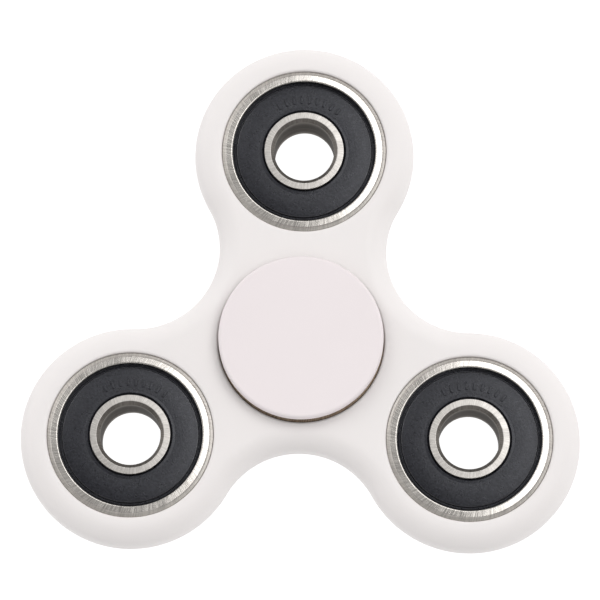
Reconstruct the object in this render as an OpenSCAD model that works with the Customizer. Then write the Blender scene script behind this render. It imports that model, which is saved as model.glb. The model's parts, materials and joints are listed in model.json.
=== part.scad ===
// Three-lobed fidget spinner. A moulded frame turns on a centre ball bearing, whose inner ring
// is held between two finger caps. Three more bearings of the same size are the weights.
// Millimetres. +Z is the spin axis, and z = 0 is the lower cap's face, which the spinner lies on.

/* [Frame] */
// Distance from the spin axis to each lobe's centre
arm_radius = 25.8; // [25.6:0.1:27]
// Outside radius of each lobe
lobe_radius = 14.7; // [14.5:0.1:15]
// Radius of the hollow between two lobes
waist_radius = 11; // [10:0.5:14]
// Thickness of the frame, which is the bearings' width
frame_thickness = 7; // [7:0.1:7.6]
// Radius of the frame's rounded outer edge
edge_radius = 3; // [1.5:0.25:3.25]
// Radius of the rounding at the mouth of each bearing seat
mouth_radius = 0.35; // [0.2:0.05:0.6]

/* [Bearings] */
// Outside diameter of a bearing
bearing_diameter = 22; // [22]
// Diameter of a bearing's bore
bore_diameter = 8; // [8]
// Width of a bearing
bearing_width = 7; // [7]
// Diameter of a ball
ball_diameter = 3.969; // [3.969]
// Number of balls in a bearing
ball_count = 7; // [6:1:7]
// Gap between a ball and each raceway
ball_play = 0.03; // [0.02:0.01:0.06]
// Chamfer at the outer ring's outside edges
rim_chamfer = 0.6; // [0.3:0.05:0.7]
// Chamfer at the ends of the bore
bore_chamfer = 0.45; // [0.3:0.05:0.5]
// Thickness of the cage's pressed sheet
cage_sheet = 0.3; // [0.25:0.05:0.3]

/* [Caps] */
// Diameter of a finger cap
cap_diameter = 21.8; // [20:0.1:22]
// Height of a cap's face above the frame
cap_height = 2.5; // [2:0.25:4]
// Gap between the frame and the overhanging cap
cap_gap = 1.2; // [0.4:0.1:1.2]
// Radius of the rounding round a cap's face
cap_edge = 0.5; // [0.2:0.1:0.8]
// Length of the stub that a cap holds the bearing's bore with
stub_length = 3.3; // [2.5:0.1:3.4]

/* [Hidden] */
$fn = 96;

// Places of the bearings: the centre one, then one in each lobe
lobe_angles = [90, 210, 330];
bearing_names = ["centre", "lobe_1", "lobe_2", "lobe_3"];
function lobe_centre(i) = arm_radius * [cos(lobe_angles[i]), sin(lobe_angles[i])];
function bearing_place(i) = i == 0 ? [0, 0] : lobe_centre(i - 1);
mid_plane = cap_height + frame_thickness / 2;

// Each waist circle runs into two lobes' circles, almost tangent, so its centre follows from them
waist_overlap = 0.05;
lobe_half_spacing = arm_radius * sin(60);
waist_distance = arm_radius * cos(60)
    + sqrt(pow(lobe_radius + waist_radius - waist_overlap, 2) - pow(lobe_half_spacing, 2));
function waist_centre(i) = waist_distance * [cos(lobe_angles[i] + 60), sin(lobe_angles[i] + 60)];

// Bearing radii and heights, measured from the bearing's own centre
seat_radius = bearing_diameter / 2;
bore_radius = bore_diameter / 2;
half_width = bearing_width / 2;
ball_radius = ball_diameter / 2;
pitch_radius = (seat_radius + bore_radius) / 2;
race_radius = ball_radius + 0.08;       // the raceway's groove is a little wider than the ball
outer_race_floor = pitch_radius + ball_radius + ball_play;
inner_race_floor = pitch_radius - ball_radius - ball_play;
outer_shoulder = pitch_radius + 1.45;
inner_shoulder = pitch_radius - 1.45;
outer_mouth = 9.55;                     // where the outer ring's face ends
outer_groove = 9.85;                    // floor of the groove that holds the seal
inner_land = 5.3;                       // where the inner ring's face ends
seal_floor = 2.45;                      // inside face of a seal
seal_groove_top = 2.95;
seal_face = 3.3;                        // outside face of a seal, just under the rings' faces
seal_rim = 9.02;                        // where the seal's face drops to its rim
lip_gap = 0.06;                         // gap between the seal's lip and the inner ring
fit_gap = 0.03;                         // gap round the seal's bead

// The cage is a ribbon with a cup over each ball, in two halves held by rivets
cup_radius = ball_radius + 0.08;
ribbon_half_width = 1.15;
rivet_radius = 0.4;
rivet_head_radius = 0.62;
rivet_head_height = 0.22;

// Cap details
collar_radius = 5;                      // the collar bears on the inner ring's face
core_radius = 2.6;                      // hollow of the stub
cap_roof = 1.2;
stub_chamfer = 0.3;
stub_tip = half_width - stub_length;    // the stub's end, above the bearing's centre

// How far a cutting shape passes the faces that it cuts
over = 1;

NODES = concat(
    ["frame", "top_cap", "bottom_cap"],
    [for (b = bearing_names) each [
        str(b, "_outer_ring"), str(b, "_inner_ring"),
        str(b, "_top_seal"), str(b, "_bottom_seal"),
        str(b, "_top_cage"), str(b, "_bottom_cage"), str(b, "_cage_rivets")]],
    [for (b = bearing_names) for (k = [1:ball_count]) str(b, "_ball_", k)]);
node = "all";
function shown(name) = node == "all" || node == name;

// ---- Shared shapes ----

// Closes a half profile with its own mirror image below z = 0
function mirrored(half) =
    concat(half, [for (i = [len(half) - 1:-1:0]) [half[i][0], -half[i][1]]]);

// A slab from x = 0 to length whose far end is rounded top and bottom
module rounded_slab(length) {
    half = frame_thickness / 2;
    translate([0, -half]) square([length - edge_radius, frame_thickness]);
    translate([0, edge_radius - half]) square([length, frame_thickness - 2 * edge_radius]);
    for (side = [-1, 1])
        translate([length - edge_radius, side * (half - edge_radius)]) circle(r = edge_radius);
}

// Repeats a shape round a bearing, once for each ball
module at_each_ball(turn = 0) {
    for (k = [1:ball_count])
        rotate([0, 0, 360 / ball_count * (k - 1) + turn]) translate([pitch_radius, 0, 0]) children();
}

// ---- Frame ----

// One lobe, a disc with rounded edges
module lobe(i) {
    translate(lobe_centre(i)) rotate_extrude() rounded_slab(lobe_radius);
}

// Cuts the hollow between two lobes, and leaves its edge rounded like a lobe's
module waist_cutter() {
    reach = waist_radius + edge_radius;
    height = frame_thickness + 2 * over;
    rotate_extrude()
        difference() {
            translate([0, -height / 2]) square([reach, height]);
            translate([reach + edge_radius + over, 0])
                mirror([1, 0, 0]) rounded_slab(2 * edge_radius + over);
        }
}

// The middle of the frame, between the lobes' and the waists' centres
module web() {
    corners = [for (i = [0:2]) each [lobe_centre(i), waist_centre(i)]];
    difference() {
        translate([0, 0, -frame_thickness / 2]) linear_extrude(frame_thickness) polygon(corners);
        for (i = [0:2]) translate(waist_centre(i)) waist_cutter();
    }
}

// Bores a bearing seat right through, with a rounded mouth at both ends
module seat_cutter() {
    half = frame_thickness / 2;
    rotate_extrude()
        difference() {
            union() {
                translate([0, -half - over]) square([seat_radius, 2 * (half + over)]);
                for (side = [0, 1]) mirror([0, side])
                    translate([0, half - mouth_radius])
                        square([seat_radius + mouth_radius, mouth_radius + over]);
            }
            for (side = [-1, 1])
                translate([seat_radius + mouth_radius, side * (half - mouth_radius)])
                    circle(r = mouth_radius);
        }
}

module frame() {
    color("whitesmoke") translate([0, 0, mid_plane])
        difference() {
            union() {
                web();
                for (i = [0:2]) lobe(i);
            }
            for (i = [0:3]) translate(bearing_place(i)) seat_cutter();
        }
}

// ---- Bearing ----

module outer_ring() {
    half = [
        [outer_shoulder, seal_floor], [outer_groove, seal_floor],
        [outer_groove, seal_groove_top - 0.2], [outer_mouth, seal_groove_top],
        [outer_mouth, half_width], [seat_radius - rim_chamfer, half_width],
        [seat_radius, half_width - rim_chamfer]];
    color("silver")
        rotate_extrude()
            difference() {
                polygon(mirrored(half));
                translate([outer_race_floor - race_radius, 0]) circle(r = race_radius);
            }
}

module inner_ring() {
    half = [
        [inner_shoulder, seal_floor - 0.15], [inner_land, seal_floor - 0.05],
        [inner_land, half_width], [bore_radius + bore_chamfer, half_width],
        [bore_radius, half_width - bore_chamfer]];
    color("silver")
        rotate_extrude()
            difference() {
                polygon(mirrored(half));
                translate([inner_race_floor + race_radius, 0]) circle(r = race_radius);
            }
}

// A rubber seal: a bead in the outer ring's groove, a low rim, a raised face and a lip
module seal() {
    lip = inner_land + lip_gap;
    bead = outer_groove - fit_gap;
    low = seal_floor + fit_gap;
    color("#26272b")
        rotate_extrude()
            polygon([
                [lip + 0.25, low], [lip, low + 0.2], [lip, seal_face - 0.35],
                [lip + 0.3, seal_face], [seal_rim - 0.05, seal_face], [seal_rim, seal_face - 0.1],
                [seal_rim, seal_groove_top - fit_gap], [outer_mouth - fit_gap, seal_groove_top - fit_gap],
                [bead, seal_groove_top - 0.2 - fit_gap], [bead, low]]);
}

module ball() {
    color("gainsboro") sphere(r = ball_radius);
}

// One half of the ribbon cage, above the bearing's middle plane
module cage_half() {
    color("darkgray")
        difference() {
            intersection() {
                union() {
                    cylinder(r = seat_radius, h = cage_sheet);
                    at_each_ball() sphere(r = cup_radius + cage_sheet);
                }
                rotate_extrude()
                    translate([pitch_radius - ribbon_half_width, 0])
                        square([2 * ribbon_half_width, half_width]);
            }
            at_each_ball() sphere(r = cup_radius);
            at_each_ball(180 / ball_count)
                translate([0, 0, -over]) cylinder(r = rivet_radius, h = cage_sheet + 2 * over);
        }
}

module cage_rivets() {
    half = [[rivet_head_radius, cage_sheet], [rivet_head_radius - 0.15, cage_sheet + rivet_head_height]];
    color("silver")
        at_each_ball(180 / ball_count)
            rotate_extrude()
                polygon(concat(
                    [[0, -half[1][1]], [half[1][0], -half[1][1]], [half[0][0], -half[0][1]]],
                    [[rivet_radius, -cage_sheet], [rivet_radius, cage_sheet]],
                    [half[0], half[1], [0, half[1][1]]]));
}

// ---- Caps ----

// The upper cap: a disc, a collar that bears on the inner ring, and a hollow stub in the bore
module cap() {
    face = half_width + cap_height;
    under = half_width + cap_gap;
    rim = cap_diameter / 2;
    color("whitesmoke")
        rotate_extrude()
            union() {
                polygon([
                    [0, face - cap_roof], [core_radius, face - cap_roof], [core_radius, stub_tip],
                    [bore_radius - stub_chamfer, stub_tip], [bore_radius, stub_tip + stub_chamfer],
                    [bore_radius, half_width], [collar_radius, half_width], [collar_radius, under],
                    [rim, under], [rim, face - cap_edge], [rim - cap_edge, face - cap_edge],
                    [rim - cap_edge, face], [0, face]]);
                translate([rim - cap_edge, face - cap_edge]) circle(r = cap_edge);
            }
}

module upside_down() {
    mirror([0, 0, 1]) children();
}

// ---- Assembly ----

if (shown("frame")) frame();
if (shown("top_cap")) translate([0, 0, mid_plane]) cap();
if (shown("bottom_cap")) translate([0, 0, mid_plane]) upside_down() cap();

for (i = [0:3])
    translate([bearing_place(i)[0], bearing_place(i)[1], mid_plane]) {
        name = bearing_names[i];
        if (shown(str(name, "_outer_ring"))) outer_ring();
        if (shown(str(name, "_inner_ring"))) inner_ring();
        if (shown(str(name, "_top_seal"))) seal();
        if (shown(str(name, "_bottom_seal"))) upside_down() seal();
        if (shown(str(name, "_top_cage"))) cage_half();
        if (shown(str(name, "_bottom_cage"))) upside_down() cage_half();
        if (shown(str(name, "_cage_rivets"))) cage_rivets();
        for (k = [1:ball_count])
            if (shown(str(name, "_ball_", k)))
                rotate([0, 0, 360 / ball_count * (k - 1)]) translate([pitch_radius, 0, 0]) ball();
    }
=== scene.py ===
"""Looks for a three-lobed fidget spinner: a moulded frame, two finger caps and four ball bearings."""
import json
import math

import bmesh
import bpy
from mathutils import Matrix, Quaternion, Vector
from mathutils.geometry import delaunay_2d_cdt


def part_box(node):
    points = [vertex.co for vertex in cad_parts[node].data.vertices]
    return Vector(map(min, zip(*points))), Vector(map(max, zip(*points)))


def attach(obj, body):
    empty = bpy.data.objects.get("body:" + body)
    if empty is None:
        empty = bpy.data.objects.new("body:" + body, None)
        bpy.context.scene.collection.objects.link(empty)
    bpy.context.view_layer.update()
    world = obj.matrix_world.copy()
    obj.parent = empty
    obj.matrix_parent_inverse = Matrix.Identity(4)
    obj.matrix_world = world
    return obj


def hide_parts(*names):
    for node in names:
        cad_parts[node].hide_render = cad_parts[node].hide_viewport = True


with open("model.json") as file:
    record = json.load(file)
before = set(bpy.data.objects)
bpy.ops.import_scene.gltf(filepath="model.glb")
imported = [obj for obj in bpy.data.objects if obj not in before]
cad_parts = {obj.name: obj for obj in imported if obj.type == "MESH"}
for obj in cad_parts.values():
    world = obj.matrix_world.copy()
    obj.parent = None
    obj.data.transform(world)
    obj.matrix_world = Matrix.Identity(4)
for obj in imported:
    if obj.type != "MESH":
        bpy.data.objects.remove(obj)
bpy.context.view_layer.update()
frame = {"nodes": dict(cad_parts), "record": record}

MM = 0.001
BEARINGS = ("centre", "lobe_1", "lobe_2", "lobe_3")
ROUND = 180           # points round a bearing or a cap
LOBE_POINTS = 150     # points round each lobe's outline
WAIST_POINTS = 60     # points round each hollow between two lobes


# ---- Sizes that the frame gives ----

def centre_of(node):
    low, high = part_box(node)
    return (Vector(low) + Vector(high)) / 2


def size_of(node):
    low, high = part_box(node)
    return Vector(high) - Vector(low)


def body_with(node):
    bodies = frame["record"]["behaviour"]["bodies"]
    return next(name for name, nodes in bodies.items() if node in nodes)


MID_HEIGHT = centre_of("frame").z
HALF_THICKNESS = size_of("frame").z / 2
ARM_RADIUS = centre_of("lobe_1_outer_ring").y
SEAT_RADIUS = size_of("centre_outer_ring").x / 2
LOBE_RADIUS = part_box("frame")[1][1] - ARM_RADIUS
CAP_RADIUS = size_of("top_cap").x / 2
CAP_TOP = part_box("top_cap")[1][2] - MID_HEIGHT
CAP_LENGTH = size_of("top_cap").z
LOBE_ANGLES = [math.radians(a) for a in (90, 210, 330)]

# Sizes that the frame's boxes don't give, as the CAD model has them
WAIST_RADIUS = 11.0 * MM
EDGE_RADIUS = 3.0 * MM
MOUTH_RADIUS = 0.35 * MM

# The faint line where the mould's halves met, which the CAD model leaves out
PARTING_HEIGHT = 0.03 * MM
PARTING_HALF_WIDTH = 0.12 * MM


# ---- Mesh helpers ----

def new_object(name, bm, location=(0, 0, 0)):
    bmesh.ops.recalc_face_normals(bm, faces=bm.faces)
    for face in bm.faces:
        face.smooth = True
    mesh = bpy.data.meshes.new(name)
    bm.to_mesh(mesh)
    bm.free()
    piece = bpy.data.objects.new(name, mesh)
    piece.location = location
    bpy.context.collection.objects.link(piece)
    return piece


def weighted_normals(piece):
    """Keeps flat faces flat beside small roundings, where plain smooth shading would bend them."""
    piece.modifiers.new("flat_faces", "WEIGHTED_NORMAL").weight = 100


def rounded(corners, steps=4):
    """A closed outline whose corners (x, y, radius) are turned into arcs. A radius of 0 stays sharp."""
    outline = []
    for i, (x, y, radius) in enumerate(corners):
        here = Vector((x, y))
        before = Vector(corners[i - 1][:2]) - here
        after = Vector(corners[(i + 1) % len(corners)][:2]) - here
        if radius == 0:
            outline.append((x, y))
            continue
        half = before.angle(after) / 2
        reach = min(radius / math.tan(half), 0.48 * min(before.length, after.length))
        radius = reach * math.tan(half)
        middle = here + (before.normalized() + after.normalized()).normalized() * radius / math.sin(half)
        first = here + before.normalized() * reach - middle
        last = here + after.normalized() * reach - middle
        for k in range(steps + 1):
            spoke = first.lerp(last, k / steps).normalized() * radius
            outline.append(tuple(middle + spoke))
    return outline


def with_supports(outline):
    """Adds a point near both ends of each long straight side, so that smooth shading keeps it straight."""
    reach = 0.03
    supported = []
    for i, point in enumerate(outline):
        here, following = Vector(point), Vector(outline[(i + 1) % len(outline)])
        side = following - here
        supported.append(tuple(here))
        if side.length > 4 * reach:
            supported.append(tuple(here + side.normalized() * reach))
            supported.append(tuple(following - side.normalized() * reach))
    return supported


def level_ring(bm, radius, height, x=0.0, y=0.0):
    """A level ring of points about the upright line through x, y."""
    turns = [2 * math.pi * k / ROUND for k in range(ROUND)]
    return [bm.verts.new((x + radius * math.cos(t), y + radius * math.sin(t), height)) for t in turns]


def lathe(name, outline, location):
    """Turns a closed outline of (radius, height) in millimetres about the Z axis through location."""
    bm = bmesh.new()
    rings = []
    for radius, height in with_supports(outline):
        if radius < 1e-6:
            rings.append([bm.verts.new((0, 0, height * MM))] * ROUND)
        else:
            rings.append(level_ring(bm, radius * MM, height * MM))
    for i, ring in enumerate(rings):
        other = rings[(i + 1) % len(rings)]
        for k in range(ROUND):
            n = (k + 1) % ROUND
            distinct = list(dict.fromkeys((ring[k], ring[n], other[n], other[k])))
            if len(distinct) > 2:
                bm.faces.new(distinct)
    return new_object(name, bm, location)


# ---- Frame ----

def direction(angle):
    return Vector((math.cos(angle), math.sin(angle)))


# Each waist circle touches two lobe circles, so its centre follows from both radii
WAIST_DISTANCE = (ARM_RADIUS * math.cos(math.pi / 3)
                  + math.sqrt((LOBE_RADIUS + WAIST_RADIUS) ** 2 - (ARM_RADIUS * math.sin(math.pi / 3)) ** 2))
LOBE_CENTRES = [ARM_RADIUS * direction(a) for a in LOBE_ANGLES]
WAIST_CENTRES = [WAIST_DISTANCE * direction(a + math.pi / 3) for a in LOBE_ANGLES]
SEAT_CENTRES = [centre_of(f"{name}_outer_ring").xy for name in BEARINGS]


def spinner_outline(inset):
    """The frame's outline pulled in by inset: lobe arcs joined by tangent waist arcs, as (x, y) in metres."""
    points = []
    for angle, lobe, waist in zip(LOBE_ANGLES, LOBE_CENTRES, WAIST_CENTRES):
        # a lobe's arc is symmetric about its arm, and ends where it touches the waist circles
        sweep = lobe.angle(waist - lobe)
        for k in range(LOBE_POINTS):
            turn = angle - sweep + 2 * sweep * k / LOBE_POINTS
            points.append(lobe + (LOBE_RADIUS - inset) * direction(turn))
        # a waist's arc runs the other way round, symmetric about its line to the spin axis
        spread = (-waist).angle(lobe - waist)
        for k in range(WAIST_POINTS):
            turn = angle + math.pi * 4 / 3 + spread - 2 * spread * k / WAIST_POINTS
            points.append(waist + (WAIST_RADIUS + inset) * direction(turn))
    return points


def on_flat_face(p, margin=0.0):
    """Is p on the frame's flat face, at least margin from the rounded edges and the seats' mouths?"""
    if any((p - c).length < SEAT_RADIUS + MOUTH_RADIUS + margin for c in SEAT_CENTRES):
        return False
    if any((p - c).length < LOBE_RADIUS - EDGE_RADIUS - margin for c in LOBE_CENTRES):
        return True
    if any((p - c).length < WAIST_RADIUS + EDGE_RADIUS + margin for c in WAIST_CENTRES):
        return False
    corners = [c for pair in zip(LOBE_CENTRES, WAIST_CENTRES) for c in pair]
    return all((b - a).cross(p - a) > 0 for a, b in zip(corners, corners[1:] + corners[:1]))


def flat_fill(bm, loops, height):
    """Fills the flat face between the outer loop and the seats' loops, with even triangles."""
    spacing = 1.2 * MM
    points, edges, verts = [], [], []
    for loop in loops:
        start = len(points)
        points += [v.co.xy for v in loop]
        verts += loop
        edges += [(start + i, start + (i + 1) % len(loop)) for i in range(len(loop))]
    reach = ARM_RADIUS + LOBE_RADIUS
    for row in range(int(2 * reach / spacing)):
        for column in range(int(2 * reach / spacing)):
            p = Vector(((column + row % 2 / 2) * spacing - reach, row * spacing - reach))
            if on_flat_face(p, 0.4 * MM):
                points.append(p)
                verts.append(bm.verts.new((p.x, p.y, height)))
    made_points, _, faces, sources, _, _ = delaunay_2d_cdt(points, edges, [], 0, 1e-9)
    for face in faces:
        if on_flat_face(sum((made_points[i] for i in face), Vector((0, 0))) / len(face)):
            bm.faces.new([verts[sources[i][0]] for i in face])


def strips(bm, loops):
    """Joins each loop of points to the next one with a strip of quads."""
    for loop, following in zip(loops, loops[1:]):
        for k in range(len(loop)):
            n = (k + 1) % len(loop)
            bm.faces.new((loop[k], loop[n], following[n], following[k]))


def make_frame():
    """The moulded frame: rounded edges all round, a faint parting line at mid height, and four seats."""
    bm = bmesh.new()
    line = PARTING_HEIGHT
    flat = HALF_THICKNESS - EDGE_RADIUS
    steps = 14
    # the wall as (inset, height), from the upper flat face to the lower one
    wall = [(line + (EDGE_RADIUS - line) * (1 - math.sin(math.pi / 2 * k / steps)),
             flat + EDGE_RADIUS * math.cos(math.pi / 2 * k / steps)) for k in range(steps + 1)]
    wall += [(line, PARTING_HALF_WIDTH), (0.2 * line, PARTING_HALF_WIDTH / 2), (0.0, 0.0)]
    wall += [(inset, -height) for inset, height in reversed(wall[:-1])]
    outside = []
    for inset, height in wall:
        loop = [bm.verts.new((p.x, p.y, height)) for p in spinner_outline(inset)]
        outside.append(loop)
    strips(bm, outside)
    # a seat's wall as (radius, height), with a rounded mouth at both ends
    mouth = [(SEAT_RADIUS + MOUTH_RADIUS * (1 - math.sin(math.radians(a))),
              HALF_THICKNESS - MOUTH_RADIUS * (1 - math.cos(math.radians(a)))) for a in range(0, 91, 18)]
    mouth += [(radius, -height) for radius, height in reversed(mouth)]
    seats = []
    for centre in SEAT_CENTRES:
        rings = [level_ring(bm, radius, height, centre.x, centre.y) for radius, height in mouth]
        strips(bm, rings)
        seats.append(rings)
    flat_fill(bm, [outside[0]] + [rings[0] for rings in seats], HALF_THICKNESS)
    flat_fill(bm, [outside[-1]] + [rings[-1] for rings in seats], -HALF_THICKNESS)
    piece = new_object("frame_moulding", bm, (0, 0, MID_HEIGHT))
    weighted_normals(piece)
    return piece


# ---- Bearings, in millimetres from the bearing's own centre ----

HALF_WIDTH = size_of("centre_outer_ring").z / 2 / MM
BORE = 4.0              # radius of the bore
BORE_CHAMFER = 0.47     # width of the chamfer at each end of the bore
LAND = 5.3              # outer radius of the inner race's face
MOUTH = 9.55            # inner radius of the outer race's face
RIM_START = 10.46       # where the outer race's edge facets start
RING_OUTSIDE = SEAT_RADIUS / MM
SEAL_TOP = 3.3          # height of a seal's face at its inner edge
SEAL_INSIDE = 5.74
SEAL_OUTSIDE = 9.04
CROWN = 0.36            # how far a seal's face falls from its inner to its outer edge
CROWN_POWER = 2.3       # a higher power keeps the fall nearer to the outer edge
CHANNEL = 2.64          # height of the channel's floor between a seal's face and the outer race
TICKS = 9
TICK_MIDDLE = 85        # degrees from +X to the middle tick
TICK_SPREAD = 68        # degrees from the first tick to the last
TICK_RADIUS = 7.05
TICK_LENGTH = 1.1
TICK_WIDTH = 0.42


def both_halves(half):
    """Closes an upper half outline with its mirror image below."""
    return half + [(x, -y, r) for x, y, r in reversed(half)]


def make_outer_ring(name, place):
    """The outer race. Its ground face falls slightly away outwards, and its edge has two facets."""
    half = [
        (8.95, 1.2, 0.05), (8.95, 2.45, 0.05), (9.85, 2.45, 0.02), (9.85, 2.75, 0.02), (MOUTH, 2.95, 0.02),
        (MOUTH, HALF_WIDTH, 0.16), (10.44, HALF_WIDTH - 0.078, 0.08), (10.6, HALF_WIDTH - 0.2, 0.05),
        (10.93, HALF_WIDTH - 0.345, 0.05), (RING_OUTSIDE, HALF_WIDTH - 0.6, 0.1)]
    return lathe(name, rounded(both_halves(half)), place)


def make_inner_ring(name, place):
    """The inner race, with a chamfer at both ends of its bore."""
    half = [
        (6.05, 1.2, 0.05), (6.05, 2.3, 0.05), (LAND, 2.4, 0.02), (LAND, HALF_WIDTH - 0.04, 0.05),
        (BORE + BORE_CHAMFER, HALF_WIDTH, 0.1), (BORE, HALF_WIDTH - 0.45, 0.08)]
    return lathe(name, rounded(both_halves(half)), place)


def seal_face(radius):
    """Height of a seal's crowned face, which falls away outwards."""
    return SEAL_TOP - CROWN * ((radius - SEAL_INSIDE) / (SEAL_OUTSIDE - SEAL_INSIDE)) ** CROWN_POWER


def make_seal(name, place, side):
    """A moulded rubber seal with raised ticks. side is 1 for the upper one and -1 for the lower one."""
    start = SEAL_INSIDE + 0.28
    steps = 10
    crown = [start + (SEAL_OUTSIDE - start) * k / steps for k in range(steps)]
    lip = [
        (LAND + 0.32, 2.48, 0.02), (LAND + 0.06, 2.66, 0.02), (LAND + 0.06, 2.98, 0.04),
        (SEAL_INSIDE - 0.18, 3.14, 0.04), (SEAL_INSIDE - 0.14, SEAL_TOP + 0.06, 0.015),
        (SEAL_INSIDE + 0.24, SEAL_TOP - 0.01, 0.04)]
    face = [(r, seal_face(r), 0) for r in crown] + [(SEAL_OUTSIDE, seal_face(SEAL_OUTSIDE), 0.22)]
    edge = [
        (SEAL_OUTSIDE + 0.04, CHANNEL, 0.04), (9.2, CHANNEL, 0.05), (9.26, 2.8, 0.05), (9.34, 2.8, 0.05),
        (9.4, CHANNEL, 0.05), (9.52, CHANNEL, 0.03), (9.82, CHANNEL, 0.02), (9.82, 2.48, 0.02)]
    outline = rounded(lip + face + edge)
    seal = lathe(name, [(r, side * h) for r, h in outline], place)
    add_ticks(seal, side)
    return seal


def tick_outline(inset):
    """A tick's rounded outline pulled in by inset, about the tick's own middle."""
    length, width = TICK_LENGTH / 2 - inset, TICK_WIDTH / 2 - inset
    radius = TICK_WIDTH / 2.2 - inset
    return rounded([(length, width, radius), (-length, width, radius),
                    (-length, -width, radius), (length, -width, radius)])


def add_ticks(seal, side):
    """Small raised ticks on an arc of the seal's face, where such a seal has its moulded size mark."""
    bm = bmesh.new()
    bm.from_mesh(seal.data)
    levels = [(-0.06, 0.0), (0.06, 0.0), (0.1, 0.03), (0.11, 0.08)]     # height above the face, inset
    for tick in range(TICKS):
        turn = math.radians(TICK_MIDDLE + TICK_SPREAD * (tick / (TICKS - 1) - 0.5))
        along, across = direction(turn), direction(turn + math.pi / 2)
        loops = []
        for height, inset in levels:
            flat = [(TICK_RADIUS + x) * along + y * across for x, y in tick_outline(inset)]
            points = [(p.x * MM, p.y * MM, side * (seal_face(p.length) + height) * MM) for p in flat]
            loops.append([bm.verts.new(p) for p in points])
        strips(bm, loops)
        bm.faces.new(loops[0])
        bm.faces.new(loops[-1])
    bmesh.ops.recalc_face_normals(bm, faces=bm.faces)
    for face in bm.faces:
        face.smooth = True
    bm.to_mesh(seal.data)
    bm.free()


# ---- Caps, in millimetres from the frame's middle plane ----

CAP_GAP = 1.2           # between the frame and the cap's rim
CAP_ROOF = 1.2          # thickness of the cap over its hollow stub
CORE = 2.6              # radius of the stub's hollow
COLLAR = 5.0            # radius of the collar that bears on the inner race


def make_cap(name, side):
    """A finger cap: a disc, a collar and a hollow stub in the bore. side is 1 for the upper one."""
    top = CAP_TOP / MM
    rim = CAP_RADIUS / MM
    under = HALF_WIDTH + CAP_GAP
    tip = (CAP_TOP - CAP_LENGTH) / MM
    outline = rounded([
        (0, top - CAP_ROOF, 0), (CORE, top - CAP_ROOF, 0.3), (CORE, tip, 0.1), (BORE - 0.3, tip, 0.1),
        (BORE, tip + 0.3, 0.1), (BORE, HALF_WIDTH, 0.05), (COLLAR, HALF_WIDTH, 0.1), (COLLAR, under, 0.1),
        (rim, under, 0.35), (rim, top, 0.45), (0, top, 0)], 8)
    return lathe(name, [(r, side * h) for r, h in outline], (0, 0, MID_HEIGHT))


# ---- Materials ----

class Nodes:
    """Short names for building a material's nodes."""

    def __init__(self, name):
        self.material = bpy.data.materials.new(name)
        self.material.use_nodes = True
        self.tree = self.material.node_tree
        self.shader = self.tree.nodes["Principled BSDF"]

    def add(self, kind, **settings):
        node = self.tree.nodes.new(kind)
        for key, value in settings.items():
            setattr(node, key, value)
        return node

    def link(self, source, target):
        self.tree.links.new(source, target)


def numbers(node, values):
    """Sets a node's inputs by name."""
    for key, value in values.items():
        node.inputs[key].default_value = value
    return node


def grain(nodes, vector, scale, detail=3.0, roughness=0.5):
    """Noise of so many features to a metre."""
    noise = nodes.add("ShaderNodeTexNoise")
    numbers(noise, {"Scale": scale, "Detail": detail, "Roughness": roughness})
    nodes.link(vector, noise.inputs["Vector"])
    return noise.outputs["Fac"]


def ramp_between(nodes, factor, low, high):
    """Maps a noise, whose values mostly lie from 0.3 to 0.7, to low..high."""
    mapped = nodes.add("ShaderNodeMapRange")
    numbers(mapped, {"From Min": 0.3, "From Max": 0.7, "To Min": low, "To Max": high})
    nodes.link(factor, mapped.inputs["Value"])
    return mapped.outputs["Result"]


def contrast(nodes, factor):
    """Stretches a noise, whose values crowd round 0.5, over the whole of 0..1."""
    stretched = numbers(nodes.add("ShaderNodeMapRange"), {"From Min": 0.36, "From Max": 0.64})
    nodes.link(factor, stretched.inputs["Value"])
    return stretched.outputs["Result"]


def colour_between(nodes, factor, first, second):
    """Goes from first to second as factor goes from 0 to 1. first may also be another node's output."""
    mix = nodes.add("ShaderNodeMix", data_type="RGBA")
    first_colour, second_colour = mix.inputs[6], mix.inputs[7]
    if isinstance(first, tuple):
        first_colour.default_value = (*first, 1)
    else:
        nodes.link(first, first_colour)
    second_colour.default_value = (*second, 1)
    nodes.link(factor, mix.inputs["Factor"])
    return mix.outputs[2]


def bump(nodes, height, distance, strength=1.0):
    node = numbers(nodes.add("ShaderNodeBump"), {"Strength": strength, "Distance": distance})
    nodes.link(height, node.inputs["Height"])
    return node.outputs["Normal"]


def plastic(name, dark, light):
    """Off-white moulded plastic with a fine spark-eroded grain and faint mottling."""
    nodes = Nodes(name)
    place = nodes.add("ShaderNodeTexCoord").outputs["Object"]
    mottle = grain(nodes, place, 90, 2.0)
    nodes.link(colour_between(nodes, mottle, dark, light), nodes.shader.inputs["Base Color"])
    nodes.link(ramp_between(nodes, grain(nodes, place, 400), 0.46, 0.58), nodes.shader.inputs["Roughness"])
    nodes.link(bump(nodes, grain(nodes, place, 5200, 2.0), 0.012 * MM, 0.6), nodes.shader.inputs["Normal"])
    numbers(nodes.shader, {"IOR": 1.49, "Specular IOR Level": 0.4})
    return nodes.material


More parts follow.
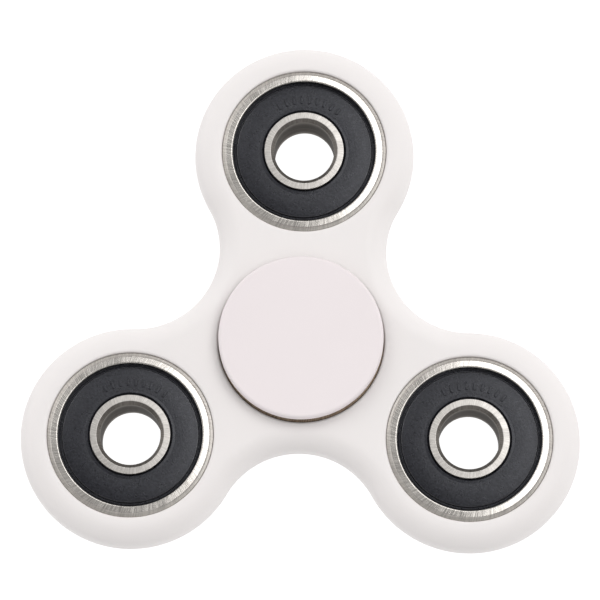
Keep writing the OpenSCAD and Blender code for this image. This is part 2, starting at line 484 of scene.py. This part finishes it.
def steel(name, dark, light, low, high, scratch):
    """Ground bearing steel whose fine lines run outwards from the part's own axis, at a slight slant.

    Its colour goes from dark to light and its roughness from low to high. scratch is the lines' depth.
    """
    slant_rate = 35          # radians to a metre of radius
    length_rate = 9          # how fast the lines change along their length
    nodes = Nodes(name)
    place = nodes.add("ShaderNodeTexCoord").outputs["Object"]
    flat = nodes.add("ShaderNodeVectorMath", operation="MULTIPLY")
    flat.inputs[1].default_value = (1, 1, 0)
    nodes.link(place, flat.inputs[0])
    radius = nodes.add("ShaderNodeVectorMath", operation="LENGTH")
    nodes.link(flat.outputs[0], radius.inputs[0])
    slant = nodes.add("ShaderNodeMath", operation="MULTIPLY")
    slant.inputs[1].default_value = slant_rate
    nodes.link(radius.outputs["Value"], slant.inputs[0])
    turned = nodes.add("ShaderNodeVectorRotate", rotation_type="Z_AXIS")
    nodes.link(flat.outputs[0], turned.inputs["Vector"])
    nodes.link(slant.outputs[0], turned.inputs["Angle"])
    outward = nodes.add("ShaderNodeVectorMath", operation="NORMALIZE")
    nodes.link(turned.outputs[0], outward.inputs[0])
    along = nodes.add("ShaderNodeVectorMath", operation="SCALE")
    along.inputs["Scale"].default_value = length_rate
    nodes.link(place, along.inputs[0])
    lines = nodes.add("ShaderNodeVectorMath", operation="ADD")
    nodes.link(outward.outputs[0], lines.inputs[0])
    nodes.link(along.outputs[0], lines.inputs[1])
    fine = contrast(nodes, grain(nodes, lines.outputs[0], 62, 3.0, 0.6))
    broad = grain(nodes, lines.outputs[0], 6, 2.0)
    nodes.link(colour_between(nodes, fine, dark, light), nodes.shader.inputs["Base Color"])
    mixed = nodes.add("ShaderNodeMath", operation="ADD")
    nodes.link(ramp_between(nodes, broad, low, high), mixed.inputs[0])
    nodes.link(ramp_between(nodes, fine, -0.02, 0.02), mixed.inputs[1])
    nodes.link(mixed.outputs[0], nodes.shader.inputs["Roughness"])
    nodes.link(bump(nodes, fine, scratch, 1.0), nodes.shader.inputs["Normal"])
    numbers(nodes.shader, {"Metallic": 1.0})
    return nodes.material


def bore_steel(name):
    """The bore: dull and dark as a painted shade inside it, lighter towards its ends as painted light falling
    in there, with turning lines round it.
    """
    nodes = Nodes(name)
    place = nodes.add("ShaderNodeTexCoord").outputs["Object"]
    squashed = nodes.add("ShaderNodeVectorMath", operation="MULTIPLY")
    squashed.inputs[1].default_value = (1, 1, 40)
    nodes.link(place, squashed.inputs[0])
    lines = grain(nodes, squashed.outputs[0], 120, 4.0, 0.6)
    height = nodes.add("ShaderNodeSeparateXYZ")
    nodes.link(place, height.inputs[0])
    from_middle = nodes.add("ShaderNodeMath", operation="ABSOLUTE")
    nodes.link(height.outputs["Z"], from_middle.inputs[0])
    # painted light: the colour grows lighter towards both ends of the bore, where light falls in, and stays
    # dark in the middle as painted shade
    painted_end_light = numbers(nodes.add("ShaderNodeMapRange", interpolation_type="SMOOTHSTEP"),
                     {"From Min": 1.4 * MM, "From Max": 3.3 * MM})
    nodes.link(from_middle.outputs[0], painted_end_light.inputs["Value"])
    dull = colour_between(nodes, contrast(nodes, lines), (0.042, 0.034, 0.027), (0.110, 0.092, 0.076))
    colour = colour_between(nodes, painted_end_light.outputs["Result"], dull, (0.28, 0.256, 0.232))
    nodes.link(colour, nodes.shader.inputs["Base Color"])
    nodes.link(ramp_between(nodes, lines, 0.4, 0.55), nodes.shader.inputs["Roughness"])
    nodes.link(bump(nodes, lines, 0.004 * MM, 1.0), nodes.shader.inputs["Normal"])
    numbers(nodes.shader, {"Specular IOR Level": 0.02})
    return nodes.material


def rubber(name, low, high, specular):
    """Black nitrile rubber with a fine moulded grain and faint dust, and a roughness from low to high."""
    nodes = Nodes(name)
    place = nodes.add("ShaderNodeTexCoord").outputs["Object"]
    dust = contrast(nodes, grain(nodes, place, 3600, 4.0, 0.75))
    nodes.link(colour_between(nodes, dust, (0.0006, 0.0008, 0.0021), (0.0195, 0.020, 0.026)),
               nodes.shader.inputs["Base Color"])
    nodes.link(ramp_between(nodes, grain(nodes, place, 1300), low, high), nodes.shader.inputs["Roughness"])
    nodes.link(bump(nodes, dust, 0.02 * MM, 0.55), nodes.shader.inputs["Normal"])
    numbers(nodes.shader, {"Specular IOR Level": specular, "Specular Tint": (0.94, 0.95, 1.0, 1)})
    return nodes.material


def floor_material():
    """A glowing white table top, clear from below, so that the spinner's underside can be looked at too."""
    nodes = Nodes("studio_floor")
    numbers(nodes.shader, {"Base Color": (0.15, 0.15, 0.15, 1), "Roughness": 0.9, "Specular IOR Level": 0.0,
                           "Emission Color": (1, 1, 1, 1), "Emission Strength": 1.0})
    underside = nodes.add("ShaderNodeNewGeometry").outputs["Backfacing"]
    clear = nodes.add("ShaderNodeBsdfTransparent")
    either = nodes.add("ShaderNodeMixShader")
    nodes.link(underside, either.inputs["Fac"])
    nodes.link(nodes.shader.outputs["BSDF"], either.inputs[1])
    nodes.link(clear.outputs["BSDF"], either.inputs[2])
    nodes.link(either.outputs["Shader"], nodes.tree.nodes["Material Output"].inputs["Surface"])
    return nodes.material


FRAME_PLASTIC = plastic("frame_plastic", (0.80, 0.765, 0.755), (0.83, 0.795, 0.785))
CAP_PLASTIC = plastic("cap_plastic", (0.80, 0.736, 0.744), (0.82, 0.755, 0.763))
OUTER_STEEL = steel("ground_face_steel", (0.40, 0.379, 0.355), (0.64, 0.61, 0.572), 0.17, 0.27, 0.0006 * MM)
INNER_STEEL = steel("lapped_face_steel", (0.33, 0.314, 0.295), (0.53, 0.507, 0.48), 0.33, 0.43, 0.0006 * MM)
RIM_STEEL = steel("rounded_edge_steel", (0.50, 0.474, 0.443), (0.66, 0.627, 0.587), 0.36, 0.46, 0.0006 * MM)
BORE_STEEL = bore_steel("bore_steel")
EDGE_STEEL = steel("bore_edge_steel", (0.15, 0.138, 0.125), (0.27, 0.25, 0.23), 0.44, 0.56, 0.0006 * MM)
# painted shade: a dark brown steel for the centre race's edge, standing in for the cap's shadow in the groove
# beneath its rim
CAP_SHADOW_STEEL = steel("painted_cap_shadow_steel", (0.21, 0.158, 0.113), (0.40, 0.31, 0.232), 0.5, 0.6, 0.0006 * MM)
BALL_STEEL = steel("ball_steel", (0.68, 0.68, 0.69), (0.74, 0.74, 0.75), 0.06, 0.1, 0.001 * MM)
CAGE_STEEL = steel("cage_steel", (0.42, 0.41, 0.39), (0.55, 0.54, 0.52), 0.32, 0.44, 0.01 * MM)
SEAL_RUBBER = rubber("seal_rubber", 0.24, 0.35, 0.37)
SHINY_RUBBER = rubber("shiny_rubber", 0.14, 0.2, 1.0)


def finish_piece(piece, node, material):
    """Stands a piece in for a CAD node, on that node's body."""
    piece.data.materials.append(material)
    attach(piece, body_with(node))
    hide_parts(node)


def soften_rim(ring, material):
    """Gives the faces of an outer race's rounded outer edge a duller steel than its ground face, or, on the
    centre race, a dark brown steel that is the cap's shadow painted in.
    """
    ring.data.materials.append(material)
    for face in ring.data.polygons:
        if face.center.xy.length / MM > RIM_START:
            face.material_index = 1


def polish_shoulder(seal):
    """Gives a seal's outer shoulder the shinier rubber that handling leaves."""
    seal.data.materials.append(SHINY_RUBBER)
    for face in seal.data.polygons:
        radius, height = face.center.xy.length / MM, abs(face.center.z) / MM
        if SEAL_OUTSIDE - 0.12 < radius < SEAL_OUTSIDE and height > SEAL_TOP - CROWN - 0.1:
            face.material_index = 1


def darken_bore(ring):
    """Gives the faces of an inner race's bore and bore edges the dull bore steel."""
    ring.data.materials.append(BORE_STEEL)
    ring.data.materials.append(EDGE_STEEL)
    for face in ring.data.polygons:
        radius = face.center.xy.length / MM
        if radius < BORE + BORE_CHAMFER - 0.03:
            face.material_index = 2 if radius > BORE + 0.01 else 1


# ---- Assembly ----

finish_piece(make_frame(), "frame", FRAME_PLASTIC)
finish_piece(make_cap("upper_finger_cap", 1), "top_cap", CAP_PLASTIC)
finish_piece(make_cap("lower_finger_cap", -1), "bottom_cap", CAP_PLASTIC)
for bearing in BEARINGS:
    place = centre_of(f"{bearing}_outer_ring")
    outer = make_outer_ring(f"{bearing}_bearing_outer_race", place)
    finish_piece(outer, f"{bearing}_outer_ring", OUTER_STEEL)
    # the centre race's edge gets the painted shade of the cap's shadow, and the lobes' races get the plain
    # rounded-edge steel
    soften_rim(outer, CAP_SHADOW_STEEL if bearing == "centre" else RIM_STEEL)
    inner = make_inner_ring(f"{bearing}_bearing_inner_race", place)
    finish_piece(inner, f"{bearing}_inner_ring", INNER_STEEL)
    darken_bore(inner)
    upper = make_seal(f"{bearing}_upper_rubber_seal", place, 1)
    finish_piece(upper, f"{bearing}_top_seal", SEAL_RUBBER)
    polish_shoulder(upper)
    lower = make_seal(f"{bearing}_lower_rubber_seal", place, -1)
    finish_piece(lower, f"{bearing}_bottom_seal", SEAL_RUBBER)
    polish_shoulder(lower)

# The parts inside the bearings keep their CAD shapes
INSIDE = {"_cage": CAGE_STEEL, "_ball_": BALL_STEEL}
for node, piece in frame["nodes"].items():
    for word, material in INSIDE.items():
        if word in node:
            piece.data.materials.clear()
            piece.data.materials.append(material)


# ---- Studio ----

def make_floor():
    bm = bmesh.new()
    bmesh.ops.create_grid(bm, x_segments=8, y_segments=8, size=2.0)
    floor = new_object("studio_floor", bm, (0, 0, -0.02 * MM))
    floor.data.materials.append(floor_material())


def make_softbox(name, position, aim, size, brightness, turn=0.0):
    """A softbox that faces the point aim, turned about its own axis by so many degrees."""
    data = bpy.data.lights.new(name, "AREA")
    data.shape = "RECTANGLE"
    data.size, data.size_y = size
    data.energy = brightness * data.size * data.size_y * math.pi
    light = bpy.data.objects.new(name, data)
    light.location = position
    facing = (Vector(aim) - Vector(position)).to_track_quat("-Z", "Y")
    light.rotation_euler = (facing @ Quaternion((0, 0, 1), math.radians(turn))).to_euler()
    bpy.context.collection.objects.link(light)


def make_world(near, far):
    """A white room that is dimmer on the -Y side, where the photographer would stand, than on the +Y side."""
    world = bpy.data.worlds.new("studio")
    world.use_nodes = True
    tree = world.node_tree
    toward = tree.nodes.new("ShaderNodeTexCoord")
    split = tree.nodes.new("ShaderNodeSeparateXYZ")
    strength = numbers(tree.nodes.new("ShaderNodeMapRange"),
                       {"From Min": -1.0, "From Max": 1.0, "To Min": near, "To Max": far})
    tree.links.new(toward.outputs["Generated"], split.inputs[0])
    tree.links.new(split.outputs["Y"], strength.inputs["Value"])
    tree.links.new(strength.outputs["Result"], tree.nodes["Background"].inputs["Strength"])
    tree.nodes["Background"].inputs["Color"].default_value = (1, 1, 1, 1)
    bpy.context.scene.world = world


def make_camera():
    """The photograph's view: almost straight down, from half a metre, leaning a little towards -Y."""
    data = bpy.data.cameras.new("camera")
    data.sensor_width = 36
    data.lens = 226.85
    camera = bpy.data.objects.new("camera", data)
    camera.rotation_euler = [math.radians(a) for a in (11.66, 0.80, 0.874)]
    bearing_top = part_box("lobe_1_outer_ring")[1][2]
    camera.location = Vector((8.16, -95.74, 490.71)) * MM + Vector((0, 0, bearing_top))
    bpy.context.collection.objects.link(camera)
    bpy.context.scene.camera = camera


make_floor()
make_world(0.32, 0.68)
make_softbox("key_softbox", (0.81, 0.55, 2.0), (0.81, 0.55, 0.0), (1.4, 2.0), 3.05, 14)
make_softbox("left_softbox", (-1.3, 1.0, 2.0), (0, 0, 0), (1.0, 1.2), 2.1)
make_softbox("low_left_softbox", (-1.4, 0.3, 0.3), (0, 0, 0), (1.6, 0.5), 1.4)
make_softbox("low_right_softbox", (1.5, 0.1, 0.2), (0, 0, 0), (0.8, 0.3), 2.6)
make_softbox("low_front_softbox", (0.0, -1.6, 0.35), (0, 0, 0), (1.6, 0.5), 1.0)
make_camera()
bpy.context.scene.view_settings.view_transform = "Standard"
